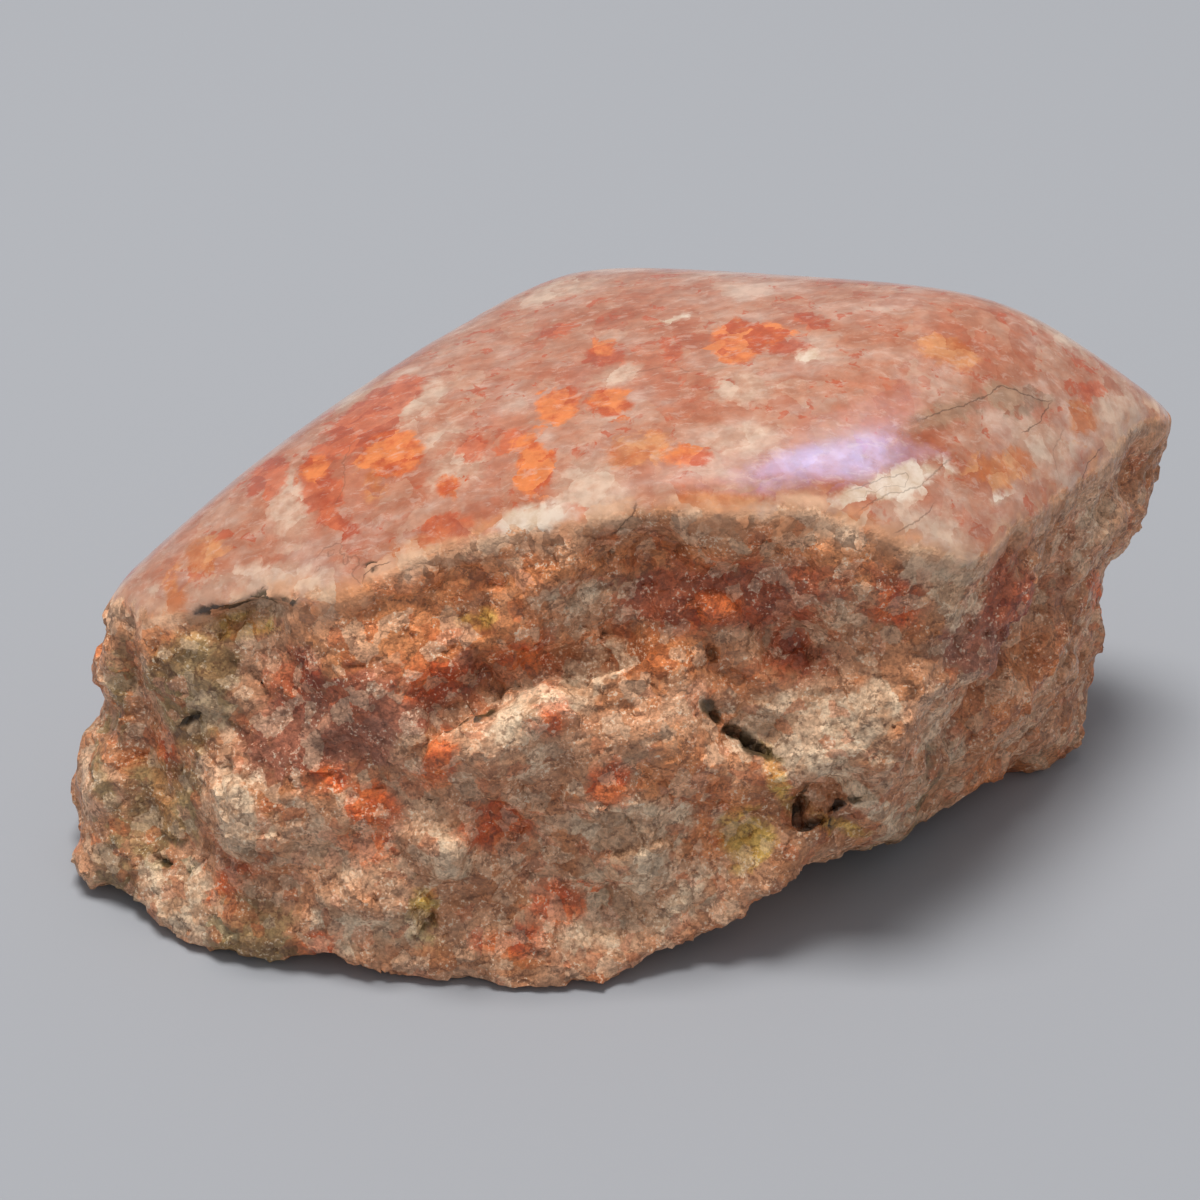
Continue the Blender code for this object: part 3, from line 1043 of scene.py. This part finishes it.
class NodeBench:
    """Places and joins the nodes of one material."""

    def __init__(self, name: str) -> None:
        """Start a material with one shader.

        Args:
            name: the material's name.
        """
        self.material = bpy.data.materials.new(name)
        self.material.use_nodes = True
        self.tree = self.material.node_tree
        self.shader = self.tree.nodes["Principled BSDF"]

    def feed(self, socket: bpy.types.NodeSocket, value: object) -> None:
        """Join a socket to another, or set its number or colour.

        Args:
            socket: the socket that is fed.
            value: another socket, or a number or colour.
        """
        if isinstance(value, bpy.types.NodeSocket):
            self.tree.links.new(value, socket)
        else:
            socket.default_value = value

    def put(self, kind: str, inputs: dict[str | int, object], **settings: object) -> bpy.types.Node:
        """Place a node.

        Args:
            kind: the node's type, without its ShaderNode prefix.
            inputs: what each input takes, by name or number.
            settings: the node's own settings.

        Returns:
            The node.
        """
        node = self.tree.nodes.new("ShaderNode" + kind)
        for name, setting in settings.items():
            setattr(node, name, setting)
        for key, value in inputs.items():
            self.feed(node.inputs[key], value)
        return node

    def sum(
        self, operation: str, first: object, second: object = 0.0, third: object = 0.0
    ) -> bpy.types.NodeSocket:
        """One step of arithmetic on sockets or numbers; only MULTIPLY_ADD reads the third."""
        return self.put("Math", {0: first, 1: second, 2: third}, operation=operation).outputs[0]

    def scaled(self, colour: object, shade: object) -> bpy.types.NodeSocket:
        """A colour made lighter or darker by a factor."""
        return self.put("VectorMath", {0: colour, 3: shade}, operation="SCALE").outputs[0]

    def dice(self, pattern: bpy.types.Node) -> bpy.types.bpy_prop_collection:
        """The three random numbers of a pattern's colour."""
        return self.put("SeparateColor", {0: pattern.outputs["Color"]}).outputs

    def mixed(self, share: object, low: object, high: object) -> bpy.types.NodeSocket:
        """Two colours mixed, with a share of the second from 0 to 1."""
        return self.put("Mix", {0: share, 6: low, 7: high}, data_type="RGBA").outputs[2]

    def level(self, value: object, low: float, high: float, least: float = 0.0, most: float = 1.0) -> object:
        """A value moved smoothly to another range, from least at low to most at high."""
        inputs = {0: value, 1: low, 2: high, 3: least, 4: most}
        return self.put("MapRange", inputs, interpolation_type="SMOOTHSTEP").outputs[0]

    def ramp(self, value: object, stops: dict[float, Triple]) -> bpy.types.NodeSocket:
        """A colour read from a ramp.

        Args:
            value: where to read, from 0 to 1.
            stops: the ramp's colours by place, as the photograph's numbers.

        Returns:
            The colour.
        """
        node = self.put("ValToRGB", {0: value})
        while len(node.color_ramp.elements) < len(stops):
            node.color_ramp.elements.new(1.0)
        for element, (place, colour) in zip(node.color_ramp.elements, sorted(stops.items())):
            element.position = place
            element.color = tone(*colour)
        return node.outputs[0]

    def cloud(self, place: object, size: float, detail: float = 3.0, rough: float = 0.5) -> bpy.types.Node:
        """Cloudy noise of a size in millimetres; rough says how strong its finer layers are."""
        inputs = {"Vector": place, "Scale": 1.0 / size, "Detail": detail, "Roughness": rough}
        return self.put("TexNoise", inputs)

    def crystals(self, place: object, size: float) -> bpy.types.Node:
        """A pattern of crystals of a size in millimetres."""
        return self.put("TexVoronoi", {"Vector": place, "Scale": 1.0 / size})

    def moved(self, place: object, push: object, amount: float) -> bpy.types.NodeSocket:
        """Places pushed by a noise colour.

        Args:
            place: where, in millimetres.
            push: the noise colour.
            amount: how far it pushes, in millimetres.

        Returns:
            The pushed places.
        """
        centred = self.put("VectorMath", {0: push, 1: (0.5, 0.5, 0.5)}, operation="SUBTRACT").outputs[0]
        inputs = {0: centred, 1: (2.0 * amount,) * 3, 2: place}
        return self.put("VectorMath", inputs, operation="MULTIPLY_ADD").outputs[0]

    def mark(self, name: str) -> bpy.types.NodeSocket:
        """A number that the mesh carries."""
        return self.put("Attribute", {}, attribute_name=name).outputs["Fac"]


@dataclass(frozen=True)
class TintLayer:
    """How one tint is laid on: its two colours, its strength, and how ragged and soft its edge is."""

    tint: Tint
    dark: Triple
    light: Triple
    strength: float
    ragged: float
    soft: float


@dataclass(frozen=True)
class SunstoneFinish:
    """Feldspar in salmon, orange and cream: glassy where it is polished, sugary where it is broken."""

    polished_tints: tuple[TintLayer, ...] = (
        TintLayer(Tint.ROSE, (176, 92, 60), (196, 120, 88), 0.55, 2.6, 3.2),
        TintLayer(Tint.CREAM, (190, 146, 120), (218, 190, 166), 0.75, 2.4, 3.4),
        TintLayer(Tint.APRICOT, (188, 102, 50), (214, 146, 94), 0.8, 1.8, 1.6),
        TintLayer(Tint.CORAL, (170, 66, 30), (202, 98, 56), 0.8, 2.0, 1.2),
        TintLayer(Tint.EMBER, (188, 76, 24), (226, 128, 66), 0.92, 1.5, 1.0),
        TintLayer(Tint.ASH, (122, 100, 76), (168, 142, 114), 0.55, 2.2, 2.2),
        # Painted reflection: a lilac tint laid under the blue strip light's reflection on the polish
        TintLayer(Tint.LILAC_REFLECTION, (176, 132, 148), (186, 154, 186), 0.6, 1.4, 3.5),
    )
    broken_tints: tuple[TintLayer, ...] = (
        TintLayer(Tint.GOLD, (192, 106, 56), (230, 146, 90), 0.85, 2.4, 4.0),
        # Partly painted shade: the mauve darkens the hollows
        TintLayer(Tint.MAUVE_AND_HOLLOW_SHADE, (138, 74, 58), (176, 106, 84), 0.78, 2.8, 3.5),
        TintLayer(Tint.MAROON, (150, 62, 36), (192, 98, 62), 0.88, 2.6, 3.8),
        TintLayer(Tint.CREAM, (214, 166, 130), (238, 204, 170), 0.75, 2.4, 2.4),
        TintLayer(Tint.BONE, (202, 158, 122), (236, 208, 174), 0.8, 2.2, 2.2),
        TintLayer(Tint.RUST, (204, 82, 34), (240, 124, 62), 0.88, 1.7, 2.4),
        TintLayer(Tint.MOSS, (104, 92, 56), (164, 146, 96), 0.65, 2.4, 2.4),
        TintLayer(Tint.OCHRE, (192, 136, 52), (236, 194, 98), 0.82, 1.5, 2.0),
    )
    shared_tints: tuple[TintLayer, ...] = (
        TintLayer(Tint.MILK, (210, 184, 156), (236, 218, 198), 0.85, 1.8, 2.0),
        # Painted shade: near-black colour in the dents and crevices
        TintLayer(Tint.CREVICE_SHADE, (42, 30, 16), (92, 72, 42), 0.9, 1.2, 0.8),
    )
    mess_size: float = 1.8
    grain_size: float = 1.15
    flake_size: float = 1.9
    crystal_size: float = 3.4
    cleavage_turn: float = -24.0
    refraction: float = 1.54
    coat_roughness: float = 0.10
    fleck: Triple = (182, 76, 36)
    streak: Triple = (218, 184, 166)
    pale_flake: Triple = (240, 208, 174)
    red_flake: Triple = (208, 102, 54)
    # Pale specks on the broken faces, partly painted glints
    sugar: Triple = (244, 226, 198)
    seam: Triple = (104, 60, 38)
    worn_dark: Triple = (222, 150, 104)
    worn_light: Triple = (236, 196, 162)
    crack: Triple = (86, 60, 42)

    def dress(self, piece: bpy.types.Object) -> None:
        """Make the stone's material and lay it on the piece.

        Args:
            piece: the stone, whose mesh carries the marks.
        """
        bench = NodeBench("sunstone")
        place = bench.put("TexCoord", {}).outputs["Object"]
        place = bench.put("VectorMath", {0: place, 3: 1.0 / MM}, operation="SCALE").outputs[0]
        mess = bench.cloud(place, self.mess_size, 3.0, 0.62)
        warped = bench.moved(place, bench.cloud(place, 3.0, 2.0).outputs["Color"], 1.3)
        chipped = bench.moved(place, mess.outputs["Color"], 0.9)
        grain = bench.crystals(warped, self.grain_size)
        grain_dice = bench.dice(grain)
        crystal_dice = bench.dice(bench.crystals(chipped, self.crystal_size))
        edge = bench.sum("MULTIPLY_ADD", crystal_dice[0], 1.1, bench.sum("MULTIPLY", grain_dice[0], 0.4))
        edge = bench.sum("SUBTRACT", bench.sum("MULTIPLY_ADD", mess.outputs[0], 1.8, edge), 1.65)
        shade = bench.sum("MULTIPLY_ADD", crystal_dice[1], 0.4, bench.dice(mess)[1])
        shade = bench.level(shade, 0.48, 0.92)
        rim = bench.sum("MULTIPLY_ADD", edge, 1.6, bench.mark("rim"))
        polish = bench.level(rim, -0.8, 0.6)
        polished = self.polished_colour(bench, place, warped, crystal_dice)
        polished = self.tinted(bench, polished, self.polished_tints, edge, shade)
        polished = self.streaked(bench, polished, warped, bench.dice(mess)[2])
        broken = self.broken_colour(bench, place, crystal_dice[0])
        broken = self.tinted(bench, broken, self.broken_tints, edge, shade)
        broken = self.grained(bench, broken, place, chipped, grain)
        worn = bench.mixed(crystal_dice[2], tone(*self.worn_dark), tone(*self.worn_light))
        worn = bench.scaled(worn, bench.level(mess.outputs[0], 0.36, 0.64, 0.84, 1.12))
        colour = self.lipped(bench, bench.mixed(polish, broken, polished), rim, place, worn)
        colour = self.tinted(bench, colour, self.shared_tints, edge, shade)
        bench.feed(bench.shader.inputs["Base Color"], self.cracked(bench, colour, mess.outputs[0]))
        self.set_gloss(bench, polish, mess.outputs[0], grain_dice[2])
        self.set_relief(bench, place, warped, grain)
        piece.data.materials.clear()
        piece.data.materials.append(bench.material)

    @staticmethod
    def tinted(
        bench: NodeBench, colour: object, layers: tuple[TintLayer, ...], edge: object, shade: object
    ) -> object:
        """Lay the tints over a colour, each where the mesh carries its mark.

        Args:
            bench: the material's bench.
            colour: the colour under the tints.
            layers: the tints, the lowest first.
            edge: how far the edges of the patches are moved, before each tint's own raggedness.
            shade: how light the tint is, from 0 to 1.

        Returns:
            The tinted colour.
        """
        for layer in layers:
            share = bench.sum("MULTIPLY_ADD", edge, layer.ragged, bench.mark(layer.tint.value))
            share = bench.level(share, -layer.soft / 2.0, layer.soft / 2.0, 0.0, layer.strength)
            colour = bench.mixed(share, colour, bench.mixed(shade, tone(*layer.dark), tone(*layer.light)))
        return colour

    def polished_colour(self, bench: NodeBench, place: object, warped: object, dice: object) -> object:
        """The colour of the polish: salmon and cream clouds, crystals in them, and small red flecks.

        Args:
            bench: the material's bench.
            place: where, in millimetres.
            warped: the same places, pushed about.
            dice: three random numbers for each crystal.

        Returns:
            The colour.
        """
        wide = bench.cloud(place, 9.0, 3.0, 0.6).outputs[0]
        near = bench.cloud(self.drawn(bench, warped), 3.6, 4.0, 0.65).outputs[0]
        cloud_stops = {
            0.38: (164, 82, 50),
            0.45: (178, 108, 80),
            0.51: (186, 130, 106),
            0.56: (194, 148, 128),
            0.63: (212, 180, 162),
        }
        both = bench.sum("MULTIPLY_ADD", wide, 0.5, bench.sum("MULTIPLY", near, 0.5))
        base = bench.ramp(both, cloud_stops)
        crystal_stops = {0.0: (166, 82, 46), 0.3: (180, 114, 82), 0.7: (188, 132, 100), 1.0: (202, 160, 130)}
        base = bench.mixed(0.3, base, bench.ramp(dice[2], crystal_stops))
        flecks = bench.level(bench.cloud(warped, 2.2, 3.0, 0.65).outputs[0], 0.56, 0.62, 0.0, 0.7)
        flecks = bench.sum("MULTIPLY", flecks, bench.level(dice[0], 0.45, 0.6))
        return bench.mixed(flecks, base, tone(*self.fleck))

    def drawn(self, bench: NodeBench, place: object) -> object:
        """Draw places out along the cleavage, so that a pattern there runs in streaks.

        Args:
            bench: the material's bench.
            place: where, in millimetres.

        Returns:
            The drawn-out places.
        """
        turn = (0.0, 0.0, math.radians(self.cleavage_turn))
        inputs = {"Vector": place, "Rotation": turn, "Scale": (0.38, 1.0, 1.0)}
        return bench.put("Mapping", inputs).outputs[0]

    def streaked(self, bench: NodeBench, colour: object, warped: object, clouds: object) -> object:
        """Draw pale cleavage streaks and fine cloudiness over the polished colour.

        Args:
            bench: the material's bench.
            colour: the colour under the streaks.
            warped: places in millimetres, pushed about.
            clouds: how cloudy the colour is, from 0 to 1.

        Returns:
            The streaked colour.
        """
        streaks = bench.cloud(self.drawn(bench, warped), 1.1, 4.0, 0.75).outputs[0]
        colour = bench.mixed(bench.level(streaks, 0.53, 0.66, 0.0, 0.32), colour, tone(*self.streak))
        return bench.scaled(colour, bench.level(clouds, 0.34, 0.66, 0.88, 1.08))

    @staticmethod
    def broken_colour(bench: NodeBench, place: object, dice: object) -> object:
        """The colour of a broken face: regions and crystals in brown pink, olive cream and rust.

        Args:
            bench: the material's bench.
            place: where, in millimetres.
            dice: a random number for each crystal.

        Returns:
            The colour.
        """
        region_stops = {
            0.36: (176, 110, 68),
            0.46: (200, 136, 94),
            0.54: (210, 152, 114),
            0.66: (222, 180, 144),
        }
        region = bench.ramp(bench.cloud(place, 10.0, 4.0, 0.65).outputs[0], region_stops)
        crystal_stops = {
            0.00: (182, 114, 68),
            0.22: (204, 138, 96),
            0.44: (220, 166, 128),
            0.62: (208, 150, 112),
            0.76: (214, 122, 64),
            0.86: (176, 106, 72),
            1.00: (236, 202, 168),
        }
        return bench.mixed(0.4, region, bench.ramp(dice, crystal_stops))

    def grained(
        self, bench: NodeBench, colour: object, place: object, chipped: object, grain: bpy.types.Node
    ) -> object:
        """Break a colour up into grains, with pale flakes on them and dark seams between them, pale specks
        that also serve as painted glints, and painted shade where the relief is low.

        Args:
            bench: the material's bench.
            colour: the colour of the crystals.
            place: where, in millimetres.
            chipped: the same places, pushed about a little.
            grain: the pattern of the grains.

        Returns:
            The grained colour.
        """
        flakes = bench.dice(bench.crystals(chipped, self.flake_size))
        colour = bench.mixed(bench.level(flakes[0], 0.74, 0.82, 0.0, 0.34), colour, tone(*self.pale_flake))
        colour = bench.mixed(bench.level(flakes[1], 0.84, 0.90, 0.0, 0.34), colour, tone(*self.red_flake))
        fine = bench.cloud(place, 0.45, 2.0, 0.7).outputs[0]
        shade = bench.level(flakes[2], 0.0, 1.0, 0.92, 1.10)
        shade = bench.sum("MULTIPLY", shade, bench.level(bench.dice(grain)[1], 0.0, 1.0, 0.84, 1.18))
        shade = bench.sum("MULTIPLY", shade, bench.level(fine, 0.32, 0.68, 0.76, 1.24))
        # Painted shade: places low in the relief are darkened
        shade = bench.sum("MULTIPLY", shade, bench.level(bench.mark("relief"), -1.4, 0.2, 0.78, 1.03))
        colour = bench.scaled(colour, shade)
        # Pale specks on the brightest grains, which also stand in as painted glints
        sugar = bench.level(fine, 0.58, 0.65, 0.0, 0.65)
        sugar = bench.sum("MULTIPLY", sugar, bench.level(flakes[2], 0.45, 0.6))
        colour = bench.mixed(sugar, colour, tone(*self.sugar))
        seam = bench.level(grain.outputs["Distance"], 0.50, 0.80, 0.0, 0.45)
        seam = bench.sum("MULTIPLY", seam, bench.level(fine, 0.56, 0.44))
        return bench.mixed(seam, colour, tone(*self.seam))

    @staticmethod
    def lipped(bench: NodeBench, colour: object, rim: object, place: object, worn: object) -> object:
        """Draw the worn lip along the rim of the polish.

        Args:
            bench: the material's bench.
            colour: the colour under the lip.
            rim: distance from the rim, in millimetres, positive on the polish.
            place: where, in millimetres.
            worn: the colour of the lip.

        Returns:
            The colour with the lip.
        """
        lip = bench.sum("MULTIPLY", bench.level(rim, -4.6, -0.8), bench.level(rim, 2.6, 0.2))
        patchy = bench.level(bench.cloud(place, 6.0, 3.0, 0.65).outputs[0], 0.40, 0.58, 0.15, 0.8)
        return bench.mixed(bench.sum("MULTIPLY", lip, patchy), colour, worn)

    def cracked(self, bench: NodeBench, colour: object, waver: object) -> object:
        """Draw the fine dark cracks.

        Args:
            bench: the material's bench.
            colour: the colour under the cracks.
            waver: how far the cracks stray to one side, from 0 to 1.

        Returns:
            The colour with the cracks.
        """
        gap = bench.sum("MULTIPLY_ADD", waver, 1.2, bench.sum("SUBTRACT", bench.mark("crack"), 0.6))
        line = bench.level(bench.sum("ABSOLUTE", gap), 0.13, 0.03)
        line = bench.sum("MULTIPLY", line, bench.mark("crack strength"))
        return bench.mixed(bench.sum("MULTIPLY", line, 0.65), colour, tone(*self.crack))

    def set_gloss(self, bench: NodeBench, polish: object, haze: object, dice: object) -> None:
        """Set the shine: a glassy coat on the polish, and grains from satin to dull elsewhere.

        Args:
            bench: the material's bench.
            polish: 1 on the polish and 0 elsewhere.
            haze: how hazy the polish is, from 0 to 1.
            dice: a random number for each grain.
        """
        dull = bench.level(dice, 0.0, 1.0, 0.32, 0.66)
        gloss = bench.level(haze, 0.35, 0.7, 0.12, 0.30)
        roughness = bench.put("Mix", {0: polish, 2: dull, 3: gloss}, data_type="FLOAT").outputs[0]
        sockets = bench.shader.inputs
        bench.feed(sockets["Roughness"], roughness)
        bench.feed(sockets["Coat Weight"], bench.sum("MULTIPLY", polish, 0.5))
        sockets["Coat Roughness"].default_value = self.coat_roughness
        sockets["IOR"].default_value = self.refraction

    @staticmethod
    def set_relief(bench: NodeBench, place: object, warped: object, grain: bpy.types.Node) -> None:
        """Add the relief too fine for the mesh: tilted grains and sugar, and a faint wave on the polish.

        Args:
            bench: the material's bench.
            place: where, in millimetres.
            warped: the same places, pushed about.
            grain: the pattern of the grains.
        """
        scaled = bench.scaled(warped, grain.inputs["Scale"].default_value)
        away = bench.put("VectorMath", {0: scaled, 1: grain.outputs["Position"]}, operation="SUBTRACT")
        lean = bench.put("VectorMath", {0: grain.outputs["Color"], 1: (0.5,) * 3}, operation="SUBTRACT")
        facet = bench.put("VectorMath", {0: away.outputs[0], 1: lean.outputs[0]}, operation="DOT_PRODUCT")
        height = bench.sum("MULTIPLY", facet.outputs["Value"], 0.28)
        height = bench.sum("SUBTRACT", height, bench.sum("MULTIPLY", grain.outputs["Distance"], 0.12))
        rim = bench.mark("rim")
        height = bench.sum("MULTIPLY", height, bench.level(rim, -0.8, -3.8))
        sugar = bench.cloud(place, 0.5, 2.0, 0.6).outputs[0]
        sugar = bench.sum("MULTIPLY", sugar, bench.level(rim, 0.4, -1.2))
        height = bench.sum("MULTIPLY_ADD", sugar, 0.16, height)
        wave = bench.cloud(place, 7.0, 1.0, 0.4).outputs[0]
        wave = bench.sum("MULTIPLY", wave, bench.level(rim, -3.8, -0.8))
        height = bench.sum("MULTIPLY_ADD", wave, 0.10, height)
        inputs = {"Strength": 1.0, "Distance": MM, "Height": height}
        bench.feed(bench.shader.inputs["Normal"], bench.put("Bump", inputs).outputs[0])


@dataclass(frozen=True)
class SoftLight:
    """A flat soft light that looks straight down, in millimetres, degrees and watts.

    A mirrored light shows in the polish, and a lighting one lights the stone and the floor.
    """

    name: str
    place: Triple
    sides: tuple[float, float]
    turn: float
    power: float
    colour: Triple
    mirrored: bool
    lighting: bool

    def hang(self) -> None:
        """Hang the light over the stone."""
        lamp = bpy.data.lights.new(self.name, "AREA")
        lamp.shape = "RECTANGLE"
        lamp.size, lamp.size_y = (side * MM for side in self.sides)
        lamp.energy = self.power
        lamp.color = self.colour
        light = bpy.data.objects.new(self.name, lamp)
        light.rotation_euler = (0.0, 0.0, math.radians(self.turn))
        light.location = Vector(self.place) * MM
        light.visible_glossy = self.mirrored
        light.visible_diffuse = self.lighting
        bpy.context.scene.collection.objects.link(light)


@dataclass(frozen=True)
class Studio:
    """A pale grey floor under soft light."""

    floor_side: float = 8000.0
    floor_colour: Triple = (162, 164, 169)
    floor_roughness: float = 0.9
    sky_colour: Triple = (166, 168, 171)
    sky_strength: float = 0.93
    lights: tuple[SoftLight, ...] = (
        SoftLight(
            name="ceiling",
            place=(-100.0, 90.0, 1500.0),
            sides=(560.0, 560.0),
            turn=0.0,
            power=21.5,
            colour=(1.0, 0.99, 0.97),
            mirrored=False,
            lighting=True,
        ),
        SoftLight(
            name="blue strip",
            place=(300.0, 270.0, 976.0),
            sides=(420.0, 120.0),
            turn=-10.0,
            power=0.9,
            colour=(0.3, 0.5, 1.0),
            mirrored=True,
            lighting=False,
        ),
        SoftLight(
            name="pale window",
            place=(190.0, 340.0, 980.0),
            sides=(800.0, 330.0),
            turn=-12.0,
            power=0.9,
            colour=(1.0, 0.95, 0.97),
            mirrored=True,
            lighting=False,
        ),
    )

    def set_up(self) -> None:
        """Lay the floor, light the sky and hang the lights."""
        self.lay_floor()
        self.light_sky()
        for light in self.lights:
            light.hang()
        bpy.context.scene.view_settings.view_transform = "Standard"

    def lay_floor(self) -> None:
        """Lay a large plain floor under the stone."""
        sheet = bmesh.new()
        bmesh.ops.create_grid(sheet, x_segments=8, y_segments=8, size=self.floor_side * MM / 2.0)
        mesh = bpy.data.meshes.new("floor")
        sheet.to_mesh(mesh)
        sheet.free()
        floor = bpy.data.objects.new("floor", mesh)
        bench = NodeBench("floor")
        bench.shader.inputs["Base Color"].default_value = tone(*self.floor_colour)
        bench.shader.inputs["Roughness"].default_value = self.floor_roughness
        mesh.materials.append(bench.material)
        bpy.context.scene.collection.objects.link(floor)

    def light_sky(self) -> None:
        """Fill the surroundings with an even, slightly cool light."""
        world = bpy.data.worlds.new("soft sky")
        world.use_nodes = True
        sky = world.node_tree.nodes["Background"]
        sky.inputs["Color"].default_value = tone(*self.sky_colour)
        sky.inputs["Strength"].default_value = self.sky_strength
        bpy.context.scene.world = world


def main() -> None:
    """Build the stone, dress it, and light it as softly as in the photograph."""
    logging.basicConfig(level=logging.INFO, format="%(name)s: %(message)s")
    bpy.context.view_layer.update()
    view = PhotoView()
    view.stand_camera()
    piece = SunstoneBody(view).build()
    SunstoneFinish().dress(piece)
    LOG.info("%s: %d faces", piece.name, len(piece.data.polygons))
    Studio().set_up()
    LOG.info("floor, sky and lights are up")


if __name__ == "__main__":
    main()
